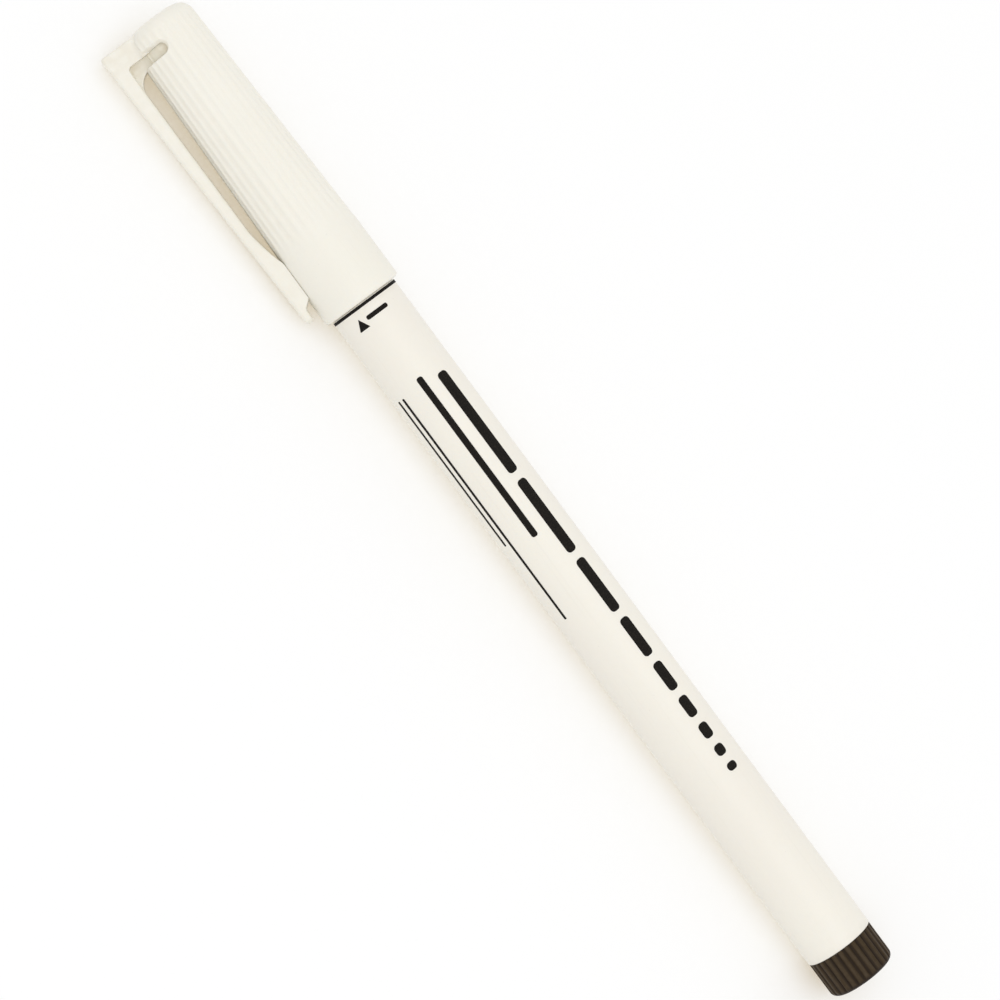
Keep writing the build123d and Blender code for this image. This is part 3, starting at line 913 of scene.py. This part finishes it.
# Clip: a lug at the cap's top, a tight bend, and an arm that thins to its tip, with a pad that meets the
# collar; a narrow rib props the arm behind the lug.
clipLook = {
    "fromTop": 0.29, "lug": 2.72, "bend": 0.5, "gap": 1.62, "rootThickness": 2.03, "rootWidth": 4.4,
    "tipThickness": 1.0, "tipWidth": 3.8, "tipLength": 1.5, "flare": 0.9, "flareRound": 0.6,
    "pad": 5.0, "ramp": 5.2, "padGap": 0.04, "bow": 5.0,
    "rootEdge": 0.4, "outerEdge": 0.42, "innerEdge": 0.14, "armEdge": 0.5, "tipCorner": 1.2, "tipEdge": 0.25,
    "crown": 0.05, "base": 3.4, "foot": 0.35,
    "lugRows": 16, "bendRows": 14, "armRows": 60, "tipRows": 12, "cornerSteps": 6,
    "grime": 0.5, "lugGrime": 0.7, "lugGrimePast": 1.0, "lugGrimeFade": 2.0, "footGrimeReach": 6.0,
}
ribLook = {
    "land": 0.2, "fillet": 2.2, "width": 1.6, "sunk": 0.25,
    "base": 2.75, "footFrom": 2.55, "foot": 2.0, "footRows": 12, "rows": 16,
    "outerEdge": 0.16, "innerEdge": 0.05, "crown": 0.0, "cornerSteps": 4,
    "grime": 1.2, "armGrime": 2.6, "armGrimeFrom": 3.7,
}
# where a section's flats have points, in shares of each, and the most of its thickness that a round takes
clipGrid = {
    "innerFlat": (0.0, 0.5, 0.94), "wallFlat": (0.06, 0.94), "outerFlat": (0.94, 0.7, 0.4),
    "innerMost": 0.3, "outerMost": 0.48,
}
clipInner = capCrest(capTopX) + clipLook["gap"]
lugRearX = capTopX + clipLook["fromTop"] + clipLook["lug"]
ribX = lugRearX + ventLook["width"] + ribLook["land"]
ribEndX = ribX + ribLook["fillet"]


# Section of the clip: a rectangle thick by 2 x half, its outer and inner corners rounded, its outer face
# lowered towards its edges. depth runs from the inner face to the outer one and side across the clip.
def clipSection(thick, half, innerEdge, look):
    bend = np.linspace(0, np.pi / 2, look["cornerSteps"] + 1)
    outerEdge = np.minimum(look["outerEdge"], clipGrid["outerMost"] * thick)[:, None]
    innerEdge = np.minimum(innerEdge, clipGrid["innerMost"] * thick)[:, None]
    thick = thick[:, None]
    half = half[:, None]
    stretches = (
        (0 * half, (half - innerEdge) * clipGrid["innerFlat"]),
        (innerEdge * (1 - np.sin(bend[::-1])), half - innerEdge * (1 - np.cos(bend[::-1]))),
        (innerEdge + (thick - innerEdge - outerEdge) * clipGrid["wallFlat"], half),
        (thick - outerEdge * (1 - np.sin(bend)), half - outerEdge * (1 - np.cos(bend))),
        (thick, (half - outerEdge) * clipGrid["outerFlat"]),
    )
    oneSide = np.concatenate([np.stack(np.broadcast_arrays(*stretch)) for stretch in stretches], axis=2)
    middle = np.stack(np.broadcast_arrays(thick, 0 * half))
    otherSide = oneSide[:, :, :0:-1] * np.array([1, -1])[:, None, None]
    depth, side = np.concatenate([oneSide, middle, otherSide], axis=2)
    return depth - look["crown"] * (side / half) ** 2 * (depth / thick) ** 2, side


# Spread of a foot that is a quarter round: foot - (foot^2 - (foot - h)^2)^(1/2) at height h, up to its top.
def footSpread(height, foot):
    h = np.clip(height, 0, foot)
    return foot - np.sqrt(foot**2 - (foot - h) ** 2)


def makeClip(look):
    rootX = capTopX + look["fromTop"]
    inner = clipInner
    outer = inner + look["rootThickness"]
    padOut = capLook["collarRadius"] + look["padGap"]
    flareX = clipTipX - look["tipLength"]
    padRearX = flareX - look["flare"]
    padFrontX = padRearX - look["pad"]
    rampX = padFrontX - look["ramp"]

    def outerLine(x):
        return outer + (inner + look["tipThickness"] - outer) * (x - rootX) / (clipTipX - rootX)

    def halfWidth(x):
        share = (x - rootX) / (clipTipX - rootX)
        return (look["rootWidth"] + (look["tipWidth"] - look["rootWidth"]) * share) / 2

    # the lug rises from inside the cap
    centreX = lugRearX + look["bend"]
    centreOut = inner - look["bend"]
    rise = np.linspace(0, 1, look["lugRows"], endpoint=False)
    lugInner = np.stack([lugRearX + 0 * rise, look["base"] + (centreOut - look["base"]) * rise], axis=1)
    lugOuter = np.stack([rootX + 0 * rise, lugInner[:, 1]], axis=1)

    # round the bend, each section lies on a ray from the bend's centre
    edgePath = roundedPath([
        (rootX, centreOut, 0), (rootX, outer, look["rootEdge"]), (centreX, outerLine(centreX), 0),
    ])
    ray = np.arctan2(edgePath[:, 1] - centreOut, centreX - edgePath[:, 0])
    sweep = np.union1d(ray, np.linspace(0, np.pi / 2, look["bendRows"]))
    rays = np.stack([-np.cos(sweep), np.sin(sweep)], axis=1)
    bendInner = np.array([centreX, centreOut]) + look["bend"] * rays
    bendOuter = np.stack([np.interp(sweep, ray, line) for line in edgePath.T], axis=1)

    # along the arm the inner face follows its bends and the outer one a straight line, both rounded at the
    # tip; rows within 0.0001 mm are one
    innerPath = roundedPath([
        (centreX, inner, 0), (rampX, inner, look["bow"]), (padFrontX, padOut, look["bow"]),
        (padRearX, padOut, look["flareRound"]), (flareX, inner, look["flareRound"]), (clipTipX, inner, 0),
    ])
    turn = np.linspace(0, np.pi / 2, look["tipRows"])
    tipRound = clipTipX - look["tipCorner"] * (1 - np.sin(turn))
    edgeRound = clipTipX - look["outerEdge"] * (1 - np.sin(turn))
    armX = np.linspace(centreX, clipTipX - look["tipCorner"], look["armRows"])[1:]
    armX = np.unique(np.concatenate([armX, innerPath[1:, 0], tipRound, edgeRound]).round(4))

    def roundedOff(radius):
        past = np.clip(armX - (clipTipX - radius), 0, radius)
        return radius - np.sqrt(radius**2 - past**2)

    armInner = np.stack([armX, np.interp(armX, *innerPath.T) + roundedOff(look["tipEdge"])], axis=1)
    armOuter = np.stack([armX, outerLine(armX) - roundedOff(look["outerEdge"])], axis=1)

    innerSide = np.concatenate([lugInner, bendInner, armInner])
    outerSide = np.concatenate([lugOuter, bendOuter, armOuter])
    thick = np.linalg.norm(outerSide - innerSide, axis=1)
    half = halfWidth(innerSide[:, 0])
    half[-len(armX):] -= roundedOff(look["tipCorner"])
    # the inner edges grow rounder along the arm, but not on the pad
    padShare = np.clip((inner - innerSide[:, 1]) / (inner - padOut), 0, 1) ** 2
    padShare[: -len(armX)] = 0
    roundness = np.clip((innerSide[:, 0] - centreX) / (ribEndX - centreX), 0, 1) * (1 - padShare)
    innerEdge = look["innerEdge"] + (look["armEdge"] - look["innerEdge"]) * roundness
    depth, side = clipSection(thick, half, innerEdge, look)
    place = innerSide[:, None] + (outerSide - innerSide)[:, None] * (depth / thick[:, None])[..., None]

    # the pad is hollowed to lie round the collar
    collar = capLook["collarRadius"]
    hollow = collar - np.sqrt(collar**2 - side**2)
    place[..., 1] -= padShare[:, None] * hollow * (1 - depth / thick[:, None])

    # the lug's rows are round like the cap at its base and straight at the bend; where it meets the cap's
    # surface, its foot spreads in a quarter round
    lugPlace = place[: look["lugRows"]]
    lugSide = side[: look["lugRows"]]
    wall = np.sqrt(look["base"] ** 2 - lugSide**2)
    lugPlace[..., 1] = wall + (centreOut - wall) * rise[:, None]
    above = np.hypot(lugPlace[..., 1], lugSide) - capOutside(lugPlace[..., 0]) + capLook["fluteDepth"]
    lugSide += footSpread(above, look["foot"]) * lugSide / half[: look["lugRows"], None]

    points = withEnds(np.concatenate([place, side[..., None]], axis=-1))
    return putPiece("clip_sprung", points, gridFaces(*points.shape[:2]), capIvory)


# The rib's rows lie level, from inside the lug to its rear face, which is upright below and a quarter
# round of the fillet above, up to the arm. Its foot spreads into the cap.
def makeRib(look):
    rise = np.linspace(0, np.pi / 2, look["rows"])
    foot = np.linspace(look["base"], clipInner - look["fillet"], look["footRows"], endpoint=False)
    frontX = np.concatenate([ribX + 0 * foot, ribX + look["fillet"] * (1 - np.cos(rise)), [ribEndX]])
    fillet = clipInner - look["fillet"] * (1 - np.sin(rise))
    level = np.concatenate([foot, fillet, [clipInner + look["sunk"]]])
    backX = lugRearX - look["sunk"]
    half = look["width"] / 2 + footSpread(level - look["footFrom"], look["foot"])
    depth, side = clipSection(frontX - backX, half, look["innerEdge"], look)
    points = withEnds(np.stack(np.broadcast_arrays(backX + depth, level[:, None], side), axis=-1))
    return putPiece("clip_rib", points, gridFaces(*points.shape[:2]), capIvory)


# The clip is handled all over and darker on its lug; painted shade darkens the lug's foot and the rib behind it.
def clipGrimeAndShade(x, radius, turn):
    look = clipLook
    onLug = np.clip((lugRearX + look["lugGrimePast"] - x) / look["lugGrimeFade"], 0, 1)
    atFoot = np.clip(1 - (radius - capOutside(x)) / look["foot"], 0, 1)
    return look["grime"] + look["lugGrime"] * onLug + atFoot * (x < capTopX + look["footGrimeReach"])


# Painted shade on the rib: darker all over, and darkest in the corner between the arm and the lug.
def ribShade(x, radius, turn):
    look = ribLook
    low = look["armGrimeFrom"]
    towardsArm = np.clip((radius * np.cos(turn) - low) / (clipInner - low), 0, 1)
    towardsLug = np.clip((ribX - x) / (ribX - lugRearX), 0, 1)
    return look["grime"] + look["armGrime"] * towardsArm * towardsLug


clip = makeClip(clipLook)
rib = makeRib(ribLook)
markPoints(clip, "groove", clipGrimeAndShade)
markPoints(rib, "groove", ribShade)
print("clip:", len(clip.data.polygons), "faces")

for piece, body, slotName, node in (
    (barrel, "pen", "barrel_white", "barrel"),
    (endPlug, "pen", "plug_dark", "end_plug"),
    (section, "pen", "section_white", "front_section"),
    (nib, "pen", "nib_fibre", "nib"),
    (cap, "cap", "cap_ivory", "cap_shell"),
    (liner, "cap", "liner_natural", "inner_cap"),
):
    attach(piece, body)
    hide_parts(node)

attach(barrelPrint, "pen")
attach(rib, "cap")

# the clip's place is baked into its mesh and the CAD clip is hidden; the two lengths round the rib's end are not
# used
(ribEndX - 0.5) * mm
(ribEndX + 6) * mm
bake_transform(clip)
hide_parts("pocket_clip")

for node, material in (("reservoir_core", coreFibre), ("reservoir_wrap", wrapFilm)):
    mesh = frame["nodes"][node].data
    mesh.materials.clear()
    mesh.materials.append(material)


# Stage: a pale floor under the pen and soft light from above. Its lengths are metres, but the size of the
# paper's flecks is millimetres.
stageLook = {
    "floorRadius": 3.0, "floorDrop": 0.00003, "floorRings": 11, "floorSpokes": 64,
    "fleckSize": 3.0, "fleckDetail": 4.0, "fleckRange": (0.3, 0.7),
    "floorTone": tint(0.92, 0.918, 0.91), "floorOther": tint(0.91, 0.908, 0.90),
    "floorDim": tint(0.50, 0.60, 0.76), "floorGlow": tint(0.50, 0.40, 0.24), "ambient": 0.835,
    "keyPlace": (0.05, -0.14, 0.95), "keySize": 0.9, "keyPower": 1.9,
}


# 1 for the rays that show the ground itself: to the camera, in a reflection or through something clear.
def shownRay(start):
    shown = start.node("ShaderNodeLightPath", {}, {}, "Is Camera Ray")
    for kind in ("Is Glossy Ray", "Is Transmission Ray"):
        shown = shown.math("MAXIMUM", shown, start.node("ShaderNodeLightPath", {}, {}, kind))
    return shown


# Floor: a disc of rings that widen outwards. Where it is looked at, it is dimmer and glows by as much as it
# lacks to white, so that only a pale warm shadow shows on it.
def makeFloor(look):
    material, start, coords = newMaterial("floor_paper")
    fleck = between(noise(coords, look["fleckSize"], look["fleckDetail"]), *look["fleckRange"])
    paper = mixed(fleck, look["floorTone"], look["floorOther"])
    plain = start.node("ShaderNodeBsdfDiffuse", {}, {"Color": paper})
    dim = start.node("ShaderNodeBsdfDiffuse", {}, {"Color": look["floorDim"]})
    glow = start.node("ShaderNodeEmission", {}, {"Color": look["floorGlow"], "Strength": 1.0})
    shown = start.node("ShaderNodeAddShader", {}, {0: dim, 1: glow})
    both = start.node("ShaderNodeMixShader", {}, {0: shownRay(start), 1: plain, 2: shown})
    start.node("ShaderNodeOutputMaterial", {}, {"Surface": both})
    count, spokes = look["floorRings"], look["floorSpokes"]
    rings = np.linspace(0, 1, count + 1)[1:, None] ** 2 * look["floorRadius"]
    angles = roundAngles(spokes)
    level = cadBox[0].z - look["floorDrop"]
    points = np.stack(np.broadcast_arrays(rings * np.cos(angles), rings * np.sin(angles), level), axis=-1)
    mesh = bpy.data.meshes.new("floor")
    mesh.from_pydata(points.reshape(-1, 3), [], gridFaces(count, spokes).tolist() + [list(range(spokes))])
    mesh.materials.append(material)
    floor = putObject("floor", mesh)


def makeLight(look):
    world = bpy.data.worlds.new("studio")
    world.use_nodes = True
    world.node_tree.nodes.clear()
    start = Wire(world.node_tree)
    level = look["ambient"] + shownRay(start) * (1 - look["ambient"])
    sky = start.node("ShaderNodeBackground", {}, {"Color": tint(1, 1, 1), "Strength": level})
    start.node("ShaderNodeOutputWorld", {}, {"Surface": sky})
    bpy.context.scene.world = world
    key = bpy.data.lights.new("key", "AREA")
    key.shape = "DISK"
    key.size = look["keySize"]
    key.energy = look["keyPower"]
    lamp = putObject("key", key)
    lamp.location = look["keyPlace"]
    lamp.rotation_euler = (-Vector(look["keyPlace"])).to_track_quat("-Z", "Y").to_euler()


# Camera: at the photo's angle, square to the pen at the cap's mouth, which lies left of and above the middle
# of the picture. slope is the pen's fall across the picture in degrees, the mouth's place there is in pixels
# of 1000, and near and far are metres.
cameraLook = {
    "distance": 476.0, "lens": 146.17, "sensor": 36.0, "near": 0.01, "far": 20,
    "pixels": 1000, "slope": 53.508, "mouthPixel": (363.0, 300.3),
}


def makeCamera(look):
    slope = np.radians(look["slope"])
    right = np.cos(slope) * along - np.sin(slope) * outward
    up = -np.sin(slope) * along - np.cos(slope) * outward
    mouth = mouthX * along
    place = mouth - look["distance"] * across
    pixel = look["distance"] * look["sensor"] / look["lens"] / look["pixels"]
    aside = (look["pixels"] / 2 - look["mouthPixel"][0]) * pixel
    below = (look["mouthPixel"][1] - look["pixels"] / 2) * pixel
    target = mouth + aside * right + below * up
    back = (place - target) / np.linalg.norm(place - target)
    right = np.cross(up, back)
    right /= np.linalg.norm(right)
    turn = np.column_stack([right, np.cross(back, right), back])
    data = bpy.data.cameras.new("camera")
    data.sensor_width = look["sensor"]
    data.lens = look["lens"]
    data.clip_start = look["near"]
    data.clip_end = look["far"]
    camera = putObject("camera", data)
    camera.matrix_world = Matrix.Translation(Vector(place * mm)) @ Matrix(turn.tolist()).to_4x4()
    bpy.context.scene.camera = camera


makeFloor(stageLook)
makeLight(stageLook)
makeCamera(cameraLook)
bpy.context.scene.view_settings.view_transform = "Standard"
print("stage set")
